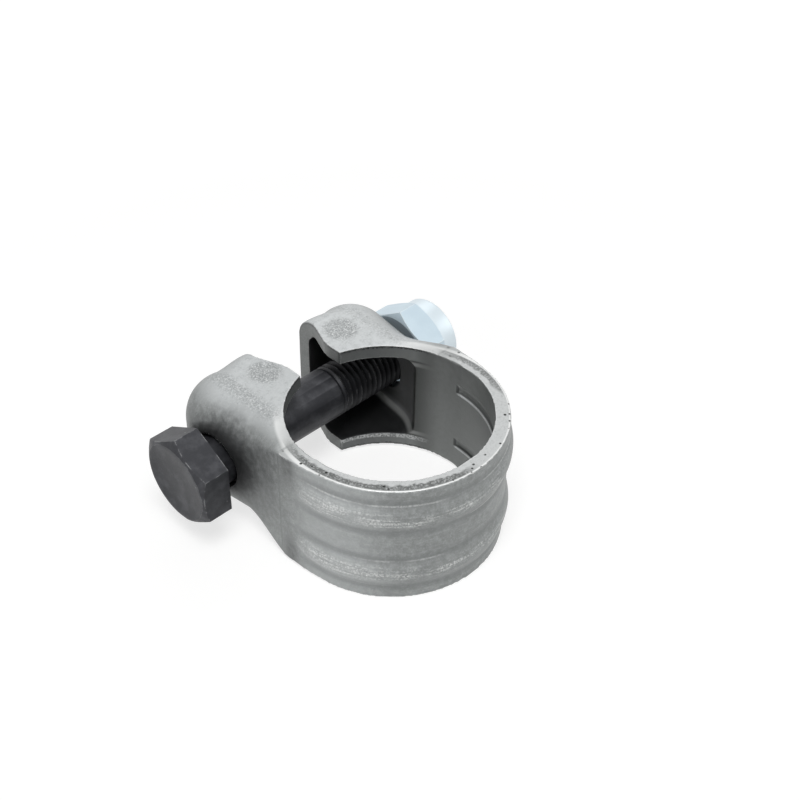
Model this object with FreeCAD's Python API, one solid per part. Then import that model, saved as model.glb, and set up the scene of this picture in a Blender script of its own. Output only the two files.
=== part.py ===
import FreeCAD, Part
import math
import os

# Tie rod clamp: a pressed steel band with two hooded ears, drawn together by a bolt and a lock nut.
# Millimetres. Z is the bore axis, +Y points to the ears and +X along the bolt to the nut.
# The origin is on the bore axis, halfway up the band.

# Band
bore_radius = 21.0
sheet_thickness = 3.4
band_width = 30.0

# Two beads pressed outward round the half of the band that faces away from the ears
bead_height = 0.9
bead_width = 7.4
bead_from_rim = 7.3
bead_flank_angle = 19.0
groove_width = 2.4
groove_depth = 0.7
bead_tail_angle = 9.0
groove_end_angle = 3.0

# Shoulders, where the band swells out to a crease
shoulder_start_angle = -14.0
crease_x = 25.3
crease_y = 7.0
crease_corner_radius = 0.6
rim_slope_start_y = -4.9

# Ears: a flank, a flat side where the bolt passes, a round nose and a lip that returns to the slot
flank_end_y = 19.0
web_seat_x = 26.9
web_splay_angle = 8.0
nose_past_bolt = 3.3
nose_radius = 9.7
nose_corner_radius = 9.7
nose_end_turn = 106.5
lip_length = 8.0
lip_corner_radius = 5.0
ear_half_height = 14.4
ear_trim_shift = 1.8
cavity_start_angle = 31.6
cavity_corner_radius = 3.1
cavity_lead_in = 8.0

# Slot between the ears
slot_half_width = 5.6
slot_straight_end_y = 27.0
slot_end_half_width = 8.3
slot_opening_angle = 22.0
slot_bend_radius = 8.0

# Bolt, fine thread M12, and its holes
bolt_radius = 5.9
thread_radius = 5.5
bolt_length = 65.0
thread_length = 30.0
thread_chamfer = 1.2
shank_step = 0.5
bolt_hole_radius = 6.7
bolt_tube_gap = 0.2
head_across_flats = 19.0
head_face_radius = 9.0
head_height = 7.5
head_gap = 2.3
washer_face_height = 0.6
washer_face_radius = 8.8
hex_chamfer_angle = 30.0

# Lock nut with its nylon ring
nut_across_flats = 19.0
nut_face_radius = 9.2
nut_hex_height = 7.5
nut_height = 12.0
nut_collar_radius = 8.7
nut_crimp_radius = 7.0
nut_crimp_thickness = 0.8
nut_wall_thickness = 1.0
nut_gap = 1.1
nut_chamfer = 0.7
thread_clearance = 0.05
nylon_height = 3.0
nylon_clearance = 0.05

# Sizes that follow from the ones above
outer_radius = bore_radius + sheet_thickness
half_width = band_width / 2
bead_centre = half_width - bead_from_rim
bolt_y = bore_radius + bolt_radius + bolt_tube_gap
nose_start_y = bolt_y + nose_past_bolt
head_seat_x = -(web_seat_x + head_gap)
nut_seat_x = web_seat_x + nut_gap
nut_bore_radius = thread_radius + thread_clearance
cut_reach = 5 * bore_radius

up = FreeCAD.Vector(0, 0, 1)
origin = FreeCAD.Vector(0, 0, 0)
slot_mirror = FreeCAD.Vector(1, 0, 0)
bolt_direction = FreeCAD.Vector(1, 0, 0)


def vec(x, y, z=0.0):
    return FreeCAD.Vector(x, y, z)


def line(a, b):
    return Part.makeLine(a, b)


def arc(a, b, c):
    return Part.Arc(a, b, c).toShape()


def face(edges):
    return Part.Face(Part.Wire(edges))


def closed_face(points):
    return Part.Face(Part.makePolygon(points + points[:1]))


def tall(flat):
    """Carries a flat outline at Z = 0 through far more than the band's width, both ways."""
    flat = flat.copy()
    flat.translate(vec(0, 0, -cut_reach))
    return flat.extrude(vec(0, 0, 2 * cut_reach))


def bead_outline(level):
    """Edges of one bead from low to high: a sloping flank, a round crown and the other flank."""
    slope = math.radians(bead_flank_angle)
    half = bead_width / 2
    crown_radius = (half * math.tan(slope) - bead_height) / (1 / math.cos(slope) - 1)
    crown_half = crown_radius * math.sin(slope)
    shoulder_x = outer_radius + (half - crown_half) * math.tan(slope)
    foot_low = vec(outer_radius, 0, level - half)
    crown_low = vec(shoulder_x, 0, level - crown_half)
    crown_high = vec(shoulder_x, 0, level + crown_half)
    foot_high = vec(outer_radius, 0, level + half)
    crown = arc(crown_low, vec(outer_radius + bead_height, 0, level), crown_high)
    return [line(foot_low, crown_low), crown, line(crown_high, foot_high)]


def beaded_section():
    """The band's wall, cut on the bore axis, with its two beads."""
    outer = outer_radius
    half_bead = bead_width / 2
    edges = [line(vec(outer, 0, -half_width), vec(outer, 0, -bead_centre - half_bead))]
    edges += bead_outline(-bead_centre)
    edges.append(line(vec(outer, 0, half_bead - bead_centre), vec(outer, 0, bead_centre - half_bead)))
    edges += bead_outline(bead_centre)
    edges.append(line(vec(outer, 0, bead_centre + half_bead), vec(outer, 0, half_width)))
    edges.append(line(vec(outer, 0, half_width), vec(bore_radius, 0, half_width)))
    edges.append(line(vec(bore_radius, 0, half_width), vec(bore_radius, 0, -half_width)))
    edges.append(line(vec(bore_radius, 0, -half_width), vec(outer, 0, -half_width)))
    return face(edges)


def groove_section(level):
    """The groove that a bead leaves in the bore: a steep side, a floor and a sloping side."""
    half = groove_width / 2
    start = bore_radius - groove_depth
    floor = bore_radius + groove_depth
    return closed_face(
        [
            vec(start, 0, level - half),
            vec(bore_radius, 0, level - half),
            vec(floor, 0, level - half / 2),
            vec(floor, 0, level + half / 2),
            vec(bore_radius, 0, level + half),
            vec(start, 0, level + half),
        ]
    )


def grooves():
    return [
        swept(groove_section(level), 180.0 - groove_end_angle, 360.0 + groove_end_angle)
        for level in (-bead_centre, bead_centre)
    ]


def swept(section, start, end):
    """A wall section carried round the bore axis from one angle to another, in degrees from +X."""
    solid = section.revolve(origin, up, end - start)
    solid.rotate(origin, up, start)
    return solid


def ring():
    """The round half of the band, from shoulder to shoulder."""
    return swept(beaded_section(), 180.0 - shoulder_start_angle, 360.0 + shoulder_start_angle)


def bead_tails():
    """The beads run on over the right shoulder until its swell covers them."""
    buried = vec(outer_radius - sheet_thickness / 2, 0)
    tails = []
    for level in (-bead_centre, bead_centre):
        low = vec(outer_radius, 0, level - bead_width / 2)
        high = vec(outer_radius, 0, level + bead_width / 2)
        low_root = vec(buried.x, 0, low.z)
        high_root = vec(buried.x, 0, high.z)
        edges = bead_outline(level)
        edges += [line(high, high_root), line(high_root, low_root), line(low_root, low)]
        tails.append(swept(face(edges), shoulder_start_angle, bead_tail_angle))
    return tails


def heading(degrees):
    """A level unit vector, turned from +X towards +Y."""
    return vec(math.cos(math.radians(degrees)), math.sin(math.radians(degrees)))


def tangent_arc(start, end, end_heading):
    """The arc between two points that runs along a given heading where it ends."""
    chord = start - end
    side = vec(-end_heading.y, end_heading.x)
    radius = chord.dot(chord) / (2 * chord.dot(side))
    centre = end + side * radius
    half = (start - centre).normalize() + (end - centre).normalize()
    return arc(start, centre + half.normalize() * abs(radius), end)


class EarPlan:
    """The outline of an ear seen from above, moved inward by a wall where it is the cavity's."""

    def __init__(self, wall):
        out = heading(-web_splay_angle)
        self.out = out
        self.web_heading = heading(90.0 - web_splay_angle)
        self.flank_end = self.on_web(flank_end_y) - out * wall
        self.nose_start = self.on_web(nose_start_y) - out * wall
        centre = self.on_web(nose_start_y) - out * nose_radius
        radius = nose_radius - wall
        self.nose_middle = centre + heading((nose_end_turn - web_splay_angle) / 2) * radius
        self.nose_end = centre + heading(nose_end_turn) * radius
        self.lip_heading = heading(nose_end_turn + 90.0)
        self.lip_end = self.nose_end + self.lip_heading * lip_length
        self.lip_tail = self.lip_end + self.lip_heading * 2 * lip_length
        if wall > 0:
            self.start = heading(cavity_start_angle) * bore_radius
            chord = (self.flank_end - self.start).normalize()
            start_heading = chord * (2 * chord.dot(self.web_heading)) - self.web_heading
            self.entry = self.start - start_heading * cavity_lead_in
            self.back = self.entry + vec(-start_heading.y, start_heading.x) * cavity_lead_in
            self.lead_in = [line(self.entry, self.start)]
        else:
            self.start = vec(crease_x, crease_y)
            self.entry = self.start
            self.back = vec(self.lip_tail.x, crease_y)
            self.lead_in = []

    def on_web(self, y):
        rise = math.tan(math.radians(web_splay_angle))
        return vec(web_seat_x + (y - bolt_y) * rise, y)

    def edges(self):
        return self.lead_in + [
            tangent_arc(self.start, self.flank_end, self.web_heading),
            line(self.flank_end, self.nose_start),
            arc(self.nose_start, self.nose_middle, self.nose_end),
            line(self.nose_end, self.lip_end),
            line(self.lip_end, self.lip_tail),
            line(self.lip_tail, self.back),
            line(self.back, self.entry),
        ]

    def on_corner(self, edge):
        """Whether the edge is a top or bottom one of the flank, the side, the nose or the lip."""
        stops = [self.entry, self.start, self.flank_end, self.nose_start, self.nose_end]
        stops += [self.lip_end, self.lip_tail]
        return any(along(edge, start, end) for start, end in zip(stops, stops[1:]))


def raised(plan, half_height):
    """The plan as a solid, as far above the middle of the band as below it."""
    flat = face(plan.edges())
    flat.translate(vec(0, 0, -half_height))
    return flat.extrude(vec(0, 0, 2 * half_height))


def above(point, target):
    return math.hypot(point.x - target.x, point.y - target.y) < 1e-3


def along(edge, start, end):
    """Whether an edge, seen from above, joins the two points."""
    first = edge.Vertexes[0].Point
    last = edge.Vertexes[-1].Point
    level = edge.BoundBox.ZLength < half_width
    return level and (above(first, start) and above(last, end) or above(first, end) and above(last, start))


def rounded(solid, spans):
    """Rounds the top and bottom edges over the given stretches, with a radius that changes along them."""
    rows = []
    for number, edge in enumerate(solid.Edges, 1):
        for start, end, start_radius, end_radius in spans:
            if along(edge, start, end):
                forward = above(edge.Vertexes[0].Point, start)
                radii = (start_radius, end_radius) if forward else (end_radius, start_radius)
                rows.append((number, *radii))
    page = FreeCAD.newDocument("corners")
    base = page.addObject("Part::Feature", "base")
    base.Shape = solid
    corners = page.addObject("Part::Fillet", "corners")
    corners.Base = base
    corners.Edges = rows
    page.recompute()
    shape = corners.Shape.copy()
    FreeCAD.closeDocument(page.Name)
    return shape


def shoulder():
    """The last of the round band before the crease, where it swells out and its rims slope to the ear."""
    start = heading(shoulder_start_angle) * outer_radius
    crease = vec(crease_x, crease_y)
    inside = heading(shoulder_start_angle) * bore_radius
    inner_end = vec(crease_x - 2 * sheet_thickness, crease_y)
    flat = face(
        [
            tangent_arc(crease, start, heading(shoulder_start_angle - 90.0)),
            line(crease, inner_end),
            line(inner_end, inside),
            line(inside, start),
        ]
    )
    flat.translate(vec(0, 0, -half_width))
    solid = flat.extrude(vec(0, 0, band_width))
    side_view = closed_face(
        [
            vec(0, -cut_reach, -half_width),
            vec(0, rim_slope_start_y, -half_width),
            vec(0, crease_y, -ear_half_height),
            vec(0, crease_y, ear_half_height),
            vec(0, rim_slope_start_y, half_width),
            vec(0, -cut_reach, half_width),
        ]
    )
    return solid.common(side_view.extrude(vec(cut_reach, 0, 0)))


def upright_block(point, way, length, depth):
    """A block that starts at a point, runs along a heading and reaches sideways to the left of it."""
    block = Part.makeBox(length, depth, 2 * cut_reach, vec(0, 0, -cut_reach))
    block.rotate(origin, up, math.degrees(math.atan2(way.y, way.x)))
    block.translate(point)
    return block


def ear():
    """The ear as a solid: its corners start sharp at the crease, are widest round the nose and narrow
    again at the lip, so flank, side and lip are rounded one by one."""
    plan = EarPlan(0.0)
    plain = raised(plan, ear_half_height)
    beside = plan.flank_end + plan.out * cut_reach
    before_side = upright_block(beside, plan.out * -1, 2 * cut_reach, cut_reach)
    at_lip = upright_block(plan.nose_end, plan.lip_heading, 2 * cut_reach, nose_corner_radius)
    flank_span = (plan.start, plan.flank_end, crease_corner_radius, nose_corner_radius)
    lip_spans = [
        (plan.nose_end, plan.lip_end, nose_corner_radius, lip_corner_radius),
        (plan.lip_end, plan.lip_tail, lip_corner_radius, lip_corner_radius),
    ]
    flank = rounded(plain.common(before_side), [flank_span])
    lip = rounded(plain.common(at_lip), lip_spans)
    side = plain.cut(before_side)
    side = side.makeFillet(nose_corner_radius, [edge for edge in side.Edges if plan.on_corner(edge)])
    return flank.fuse([side.cut(at_lip), lip]).removeSplitter()


def cavity():
    """The room inside the ear, one sheet thickness in from its outer form."""
    plan = EarPlan(sheet_thickness)
    plain = raised(plan, ear_half_height - sheet_thickness)
    return plain.makeFillet(cavity_corner_radius, [edge for edge in plain.Edges if plan.on_corner(edge)])


def trim_cut():
    """The arc that trims the ear's top and bottom walls just outside the bore."""
    radius = math.hypot(bore_radius, ear_trim_shift)
    return Part.makeCylinder(radius, 2 * cut_reach, vec(0, ear_trim_shift, -cut_reach))


def slot_cut():
    """Half of the slot: straight past the bore, then widening, then straight to the ear's end."""
    widening = slot_end_half_width - slot_half_width
    wide_y = slot_straight_end_y + widening / math.tan(math.radians(slot_opening_angle))
    tool = tall(
        closed_face(
            [
                vec(-cut_reach, 0),
                vec(slot_half_width, 0),
                vec(slot_half_width, slot_straight_end_y),
                vec(slot_end_half_width, wide_y),
                vec(slot_end_half_width, cut_reach),
                vec(-cut_reach, cut_reach),
            ]
        )
    )
    bends = []
    for edge in tool.Edges:
        low = edge.BoundBox
        upright = low.ZLength > cut_reach
        at_bend = low.XMin > 0 and min(abs(low.YMin - slot_straight_end_y), abs(low.YMin - wide_y)) < 1e-3
        if upright and at_bend:
            bends.append(edge)
    return tool.makeFillet(slot_bend_radius, bends)


def bolt_hole():
    start = vec(-cut_reach, bolt_y, 0)
    return Part.makeCylinder(bolt_hole_radius, 2 * cut_reach, start, bolt_direction)


def half_hood():
    """The right shoulder and ear, with the bead ends, trimmed by the slot, the bore and the bolt's hole."""
    half = ear().cut(cavity()).fuse([shoulder()] + bead_tails())
    half = half.cut(slot_cut())
    half = half.cut(trim_cut())
    bore = Part.makeCylinder(bore_radius, 2 * cut_reach, vec(0, 0, -cut_reach))
    return half.cut(bore).cut(bolt_hole())


def clamp_band():
    right = half_hood()
    left = right.mirror(origin, slot_mirror)
    band = ring().fuse([right, left])
    return band.cut(grooves()).removeSplitter()


def turned(profile, y=0.0):
    """A profile of (along, radius) points turned about the bolt's axis."""
    points = [vec(along, y + radius) for along, radius in profile]
    return closed_face(points).revolve(vec(0, y, 0), bolt_direction, 360)


def hexagon_bar(across_flats, length):
    """A hexagonal bar along the bolt from X = 0, with a corner on top."""
    corner = across_flats / math.sqrt(3)
    points = []
    for i in range(6):
        turn = math.radians(60 * i)
        points.append(vec(0, corner * math.sin(turn), corner * math.cos(turn)))
    return closed_face(points).extrude(vec(length, 0, 0))


def hexagon(across_flats, length, start_face_radius, end_face_radius):
    """A hexagon whose corners are turned down to a circle on each end."""
    corner = across_flats / math.sqrt(3)
    slope = math.tan(math.radians(hex_chamfer_angle))
    start_fall = (corner - start_face_radius) * slope
    end_fall = (corner - end_face_radius) * slope
    limits = turned(
        [
            (0, 0),
            (0, start_face_radius),
            (start_fall, corner),
            (length - end_fall, corner),
            (length, end_face_radius),
            (length, 0),
        ]
    )
    return hexagon_bar(across_flats, length).common(limits)


def hex_bolt():
    hex_height = head_height - washer_face_height
    head = hexagon(head_across_flats, hex_height, head_face_radius, head_across_flats / math.sqrt(3))
    head.translate(vec(-head_height, 0, 0))
    thread_start = bolt_length - thread_length
    stem = turned(
        [
            (-washer_face_height, 0),
            (-washer_face_height, washer_face_radius),
            (0, washer_face_radius),
            (0, bolt_radius),
            (thread_start - shank_step, bolt_radius),
            (thread_start, thread_radius),
            (bolt_length - thread_chamfer, thread_radius),
            (bolt_length, thread_radius - thread_chamfer),
            (bolt_length, 0),
        ]
    )
    bolt = head.fuse(stem).removeSplitter()
    bolt.translate(vec(head_seat_x, bolt_y, 0))
    return bolt


def lock_nut():
    seat = nut_height - nut_crimp_thickness - nylon_height
    body = hexagon(nut_across_flats, nut_hex_height, nut_face_radius, nut_collar_radius)
    collar = turned(
        [
            (0, 0),
            (0, nut_collar_radius),
            (nut_height - nut_crimp_thickness, nut_collar_radius),
            (nut_height, nut_collar_radius - nut_crimp_thickness),
            (nut_height, 0),
        ]
    )
    hollow = turned(
        [
            (0, 0),
            (0, nut_bore_radius + nut_chamfer),
            (nut_chamfer, nut_bore_radius),
            (seat, nut_bore_radius),
            (seat, nut_collar_radius - nut_wall_thickness),
            (seat + nylon_height, nut_collar_radius - nut_wall_thickness),
            (seat + nylon_height, nut_crimp_radius),
            (nut_height, nut_crimp_radius),
            (nut_height, 0),
        ]
    )
    nut = body.fuse(collar).cut(hollow).removeSplitter()
    nut.translate(vec(nut_seat_x, bolt_y, 0))
    return nut


def nylon_insert():
    start = nut_height - nut_crimp_thickness - nylon_height + nylon_clearance
    end = nut_height - nut_crimp_thickness - nylon_clearance
    outside = nut_collar_radius - nut_wall_thickness - nylon_clearance
    insert = turned(
        [
            (start, nut_bore_radius),
            (start, outside),
            (end, outside),
            (end, nut_bore_radius),
        ]
    )
    insert.translate(vec(nut_seat_x, bolt_y, 0))
    return insert


def save(name, shape):
    print(name, "solids", len(shape.Solids), "valid", shape.isValid(), "volume", round(shape.Volume, 1))
    if len(shape.Solids) == 1:
        shape = shape.Solids[0]
    shape.exportStep("parts/" + name + ".step")


os.makedirs("parts", exist_ok=True)
save("clamp_band", clamp_band())
save("hex_bolt", hex_bolt())
save("lock_nut", lock_nut())
save("nylon_insert", nylon_insert())
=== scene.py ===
import math

import bmesh
import bpy
from mathutils import Matrix, Vector


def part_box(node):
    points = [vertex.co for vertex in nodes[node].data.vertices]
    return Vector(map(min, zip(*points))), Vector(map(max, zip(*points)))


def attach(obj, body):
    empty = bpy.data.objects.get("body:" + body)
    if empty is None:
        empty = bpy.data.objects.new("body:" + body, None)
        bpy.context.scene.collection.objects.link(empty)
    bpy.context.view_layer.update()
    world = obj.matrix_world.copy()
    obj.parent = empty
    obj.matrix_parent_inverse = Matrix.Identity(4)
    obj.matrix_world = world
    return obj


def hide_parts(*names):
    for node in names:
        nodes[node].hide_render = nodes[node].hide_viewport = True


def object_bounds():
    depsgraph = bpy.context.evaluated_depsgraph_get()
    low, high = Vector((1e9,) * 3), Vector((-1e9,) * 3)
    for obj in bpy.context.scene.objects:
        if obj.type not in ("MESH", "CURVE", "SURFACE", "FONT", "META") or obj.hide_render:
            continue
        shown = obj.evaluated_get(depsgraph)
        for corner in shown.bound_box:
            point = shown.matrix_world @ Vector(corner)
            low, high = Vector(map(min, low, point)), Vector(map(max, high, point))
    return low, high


# tie rod clamp: pressed steel band with two hooded ears, oxide black bolt, zinc plated lock nut
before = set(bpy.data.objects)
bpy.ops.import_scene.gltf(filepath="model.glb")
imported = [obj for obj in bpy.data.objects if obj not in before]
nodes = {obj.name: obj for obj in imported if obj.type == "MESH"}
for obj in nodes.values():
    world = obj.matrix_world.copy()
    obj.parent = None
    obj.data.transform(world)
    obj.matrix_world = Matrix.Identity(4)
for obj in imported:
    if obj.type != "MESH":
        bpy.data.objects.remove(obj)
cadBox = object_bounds()
mm = 0.001

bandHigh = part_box("clamp_band")[1]
boltLow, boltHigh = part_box("hex_bolt")
nutLow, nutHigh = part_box("lock_nut")
boltY = (boltLow.y + boltHigh.y) / 2
rimHeight = bandHigh.z
print("frame loaded", [round(v / mm, 2) for v in (*cadBox[0], *cadBox[1])])


def srgb(hexText):
    values = [int(hexText[i:i + 2], 16) / 255 for i in (1, 3, 5)]
    linear = [v / 12.92 if v <= 0.04045 else ((v + 0.055) / 1.055) ** 2.4 for v in values]
    return (*linear, 1.0)


# adds a node; an input is given a value or another node's output
# numbered inputs of Map Range: value 0, from 1 and 2, to 3 and 4
# numbered inputs of Mix: share 0, floats 2 and 3, colours 6 and 7
def add(tree, kind, inputs=None, **settings):
    item = tree.nodes.new("ShaderNode" + kind)
    for name, value in settings.items():
        setattr(item, name, value)
    for name, value in (inputs or {}).items():
        if isinstance(value, bpy.types.NodeSocket):
            tree.links.new(value, item.inputs[name])
        else:
            item.inputs[name].default_value = value
    return item


soft = {"interpolation_type": "SMOOTHSTEP"}


# where a change along a Map Range starts and ends, and the values before and after it
def span(start, end, before=0.0, after=1.0):
    return {1: start, 2: end, 3: before, 4: after}


# a line on the surface: full within the core round its place, gone beyond the reach
def lineMark(tree, value, line, strength=1.0, **settings):
    place, reach, core = line
    away = add(tree, "Math", {0: value, 1: place}, operation="SUBTRACT").outputs[0]
    away = add(tree, "Math", {0: away}, operation="ABSOLUTE").outputs[0]
    return add(tree, "MapRange", {0: away, 1: reach, 2: core, 4: strength}, **settings).outputs[0]


# lays coats over a colour, the lowest first: where each lies, how strongly, and its own colour
def layCoats(tree, tone, coats):
    for share, strength, colour in coats:
        if strength != 1:
            share = add(tree, "Math", {0: share, 1: strength}, operation="MULTIPLY").outputs[0]
        tone = add(tree, "Mix", {
            0: share,
            6: srgb(tone) if isinstance(tone, str) else tone,
            7: srgb(colour) if isinstance(colour, str) else colour,
        }, data_type="RGBA").outputs[2]
    return tone


def newMaterial(name):
    material = bpy.data.materials.new(name)
    material.use_nodes = True
    tree = material.node_tree
    tree.nodes.clear()
    shader = add(tree, "BsdfPrincipled")
    add(tree, "OutputMaterial", {"Surface": shader.outputs["BSDF"]})
    return material, tree, shader


# links what a material's patterns came to and sets its metallic share
def finishMaterial(tree, shader, tone, rough, relief, s):
    bump = add(tree, "Bump", {
        "Strength": s["bumpStrength"], "Distance": s["bumpDepth"], "Height": relief,
    })
    tree.links.new(tone, shader.inputs["Base Color"])
    tree.links.new(rough, shader.inputs["Roughness"])
    tree.links.new(bump.outputs[0], shader.inputs["Normal"])
    shader.inputs["Metallic"].default_value = s["metallic"]


bandSteel = {
    "satin": "#868988",
    "pale": "#cdd0d1",
    "scale": "#6d7070",
    "burnished": "#e4e5e4",
    "bore": "#6c6e6d",
    "wall": "#494b4a",
    "side": "#828384",
    "hollow": "#5a5b5c",
    "fold": "#a2a4a3",
    "deep": "#2c2d2e",
    "sheared": "#5f6161",
    "section": "#858786",
    "rim": "#bbbdbd",
    "torn": "#6c6e6d",
    "pit": "#2c2d2c",
    "boltShadow": "#1d1e20",
    # size, detail and roughness of the grain, the cracks, the mottle and the stains
    "patterns": [(0.33 * mm, 3, 0.7), (0.42 * mm, 4, 0.7), (1.3 * mm, 4, 0.5), (15.0 * mm, 3, 0.5)],
    # drawn out round the bore, drag marks and rubbing: length, width, shift, detail, roughness
    "drawnOut": [(9.0 * mm, 0.5 * mm, 0.0, 3, 0.55), (11.0 * mm, 3.0 * mm, 5.0, 2, 0.5)],
    # levels of its pattern between which each look comes up
    "stained": span(0.35, 0.7),
    "mottled": span(0.4, 0.8),
    "cracked": span(0.5, 0.7),
    "grained": span(0.5, 0.75),
    "dragged": span(0.5, 0.75),
    "footStained": span(0.4, 0.6),
    "footCracked": span(0.3, 0.6),
    "specksMottled": span(0.36, 0.66),
    "specksCracked": span(0.4, 0.65),
    "peelMottled": span(0.25, 0.42),
    "peelSpots": span(0.4, 0.56),
    "peelPale": span(0.44, 0.34),
    "sectionGrain": span(0.3, 0.6, 0.3),
    "burrCracked": span(0.42, 0.56),
    "rimGrain": span(0.5, 0.75),
    "tornGrain": span(0.46, 0.7),
    "creaseMottled": span(0.3, 0.6),
    "shoulderMottled": span(0.2, 0.6),
    "wornCracked": span(0.35, 0.5),
    # the rubbing goes by three patterns: its own, the drag marks and the cracks
    "crownRubAndHighlight": [span(0.48, 0.72), span(0.35, 0.6), span(0.4, 0.62)],
    # where the ears begin, which faces look inward, an ear's middle, where the round half ends
    "earSpan": span(7 * mm, 16 * mm),
    "insideSpan": span(0.02, -0.12),
    "earMiddle": (14 * mm, 28 * mm),
    "roundSpan": span(6 * mm, -3 * mm),
    # beads: a line is its place, its reach and its core
    "beadCentre": 7.7 * mm,
    "crownSpan": span(3.0 * mm, 1.2 * mm),
    "crownShine": 0.7,
    # painted shade beside each bead's foot
    "footShade": (4.0 * mm, 1.6 * mm, 0.2 * mm),
    "footLine": (3.5 * mm, 0.3 * mm, 0.05 * mm),
    "footShine": 0.4,
    # painted light on the band's -x side, where the front lamp falls, and a painted highlight added
    # to the crown rubbing there
    "litSideDirection": (-0.99, -0.15, 0),
    "litSideSpan": span(19 * mm, 24.2 * mm),
    "litSideHighlight": 0.22,
    # tops of the ears, lighter as painted light, the right one more: a ridge by the bore, a streak
    # and a rough patch
    # a span that ends in Lean goes by how flat the surface lies, from 0 upright to 1 flat
    "topLean": span(0.62, 0.97),
    "earTopLight": span(-5 * mm, 5 * mm, 0.63, 0.76),
    "ridgeRise": span(21 * mm, 24 * mm, 0.4),
    "ridgeEdge": span(24.8 * mm, 24 * mm),
    "ridgeStart": span(6 * mm, 8 * mm),
    "ridgeEnd": span(19 * mm, 13 * mm),
    "ridgeLean": span(0.6, 0.9),
    "streak": (18.2 * mm, 2.4 * mm, 0.8 * mm),
    "streakShare": span(-5 * mm, 5 * mm, 0.7, 0.4),
    "streakStart": span(14 * mm, 17 * mm),
    "patches": [(-10.4 * mm, 28.3 * mm, 4.3 * mm), (11.8 * mm, 28.4 * mm, 4.6 * mm)],
    "patchCore": 0.7,
    # painted shadow and dark reflection of the bolt heads by the bolt's holes
    "shadowPlace": (24.0 * mm, 2.5 * mm, 0),
    "shadowWander": span(0, 1, -1.5 * mm, 1.5 * mm),
    "shadowReach": span(12.2 * mm, 5.5 * mm),
    "webShadeReach": span(19 * mm, 12 * mm),
    "webShadeStart": span(6 * mm, 9 * mm),
    "webLean": span(0.7, 0.4),
    # sections at the slot
    "sectionFacing": span(0.85, 0.95),
    "slotReach": span(9.1 * mm, 8.6 * mm),
    "hoodMiddle": 26 * mm,
    "borderWidth": 1.0 * mm,
    "borderFacing": span(0.05, 0.4),
    # bore and hollows, going up into the ears: painted shade darkens them, and painted light pales
    # the hollows' side walls
    "wallSpan": span(5 * mm, 12.5 * mm),
    "sideSpan": span(12.8 * mm, 14.5 * mm),
    "hollowSpan": span(19 * mm, 25 * mm),
    "floorLean": span(0.5, 0.9),
    "foldLine": (9.9 * mm, 0.8 * mm, 0.2 * mm),
    "grooveEnd": span(1.5 * mm, 0.8 * mm),
    "grooveLow": span(-0.2 * mm, 0.6 * mm),
    "grooveHigh": span(1.3 * mm, 1.0 * mm),
    # the grooves' painted shade and highlight lines, and the painted shade tick at their ends
    "grooveShadeLine": (-0.85 * mm, 0.3 * mm, 0.12 * mm),
    "grooveHighlightLine": (-1.3 * mm, 0.3 * mm, 0.12 * mm),
    "grooveEndShade": (1.3 * mm, 0.4 * mm, 0.2 * mm),
    "grooveEndShadeHeight": span(1.2 * mm, 0.9 * mm),
    # sheared edges of the ears' top and bottom walls
    "trimCentre": (0, 1.8 * mm, 0),
    "trimReach": span(21.9 * mm, 21.5 * mm),
    "shearLean": span(0.75, 0.5),
    "shearHeight": span(10.7 * mm, 11.1 * mm),
    "shearStart": span(8 * mm, 12 * mm),
    "shearPale": span(19 * mm, 12 * mm),
    "raggedness": span(0.3, 0.7, -0.4 * mm, 0.4 * mm),
    "raggedHeight": span(13.7 * mm, 14.1 * mm),
    "burrLow": span(-12.3 * mm, -11.9 * mm),
    "burrHigh": span(0, -1 * mm),
    # rims: bright at the outer edge, torn between it and the bore on two sides
    "rimSpan": span(rimHeight - 0.9 * mm, rimHeight - 0.4 * mm),
    "rimEnd": span(10 * mm, 6.5 * mm),
    "rimLean": span(0.75, 0.95),
    "outerEdgeStart": span(23.8 * mm, 24.0 * mm),
    "outerEdgeEnd": span(24.9 * mm, 24.6 * mm),
    "tornWander": span(0.3, 0.7, -0.35 * mm, 0.35 * mm),
    "tornStart": span(22.2 * mm, 22.6 * mm),
    "tornEnd": span(23.9 * mm, 23.7 * mm),
    "tornSides": [
        ((-0.87, -0.5, 0), span(11 * mm, 15 * mm)),
        ((1.0, -0.07, 0), span(20.6 * mm, 21.8 * mm, 0, 0.8)),
    ],
    "pitSize": 1.9 * mm,
    "pitReach": span(0.2, 0.13),
    "pitStart": span(22.2 * mm, 22.6 * mm),
    # shoulders: painted shade along each crease and beside it
    "crease": (7.0 * mm, 0.4 * mm, 0.1 * mm),
    "shoulderShadeLine": (4.3 * mm, 3 * mm, 0.5 * mm),
    "shoulderHeight": span(4 * mm, 12 * mm),
    "shoulderLean": span(0.8, 0.6),
    # edges: how wide they are worn, and how far their rounding turns the surface
    "wornWidth": 0.45 * mm,
    "wornBend": span(0.995, 0.93),
    "wornShine": 0.75,
    "metallic": 0.6,
    "roughness": span(0.3, 0.7, 0.42, 0.56),
    "shinyRoughness": 0.32,
    "tornRoughness": 0.7,
    "bumpStrength": 0.45,
    "bumpDepth": 0.07 * mm,
}


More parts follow.
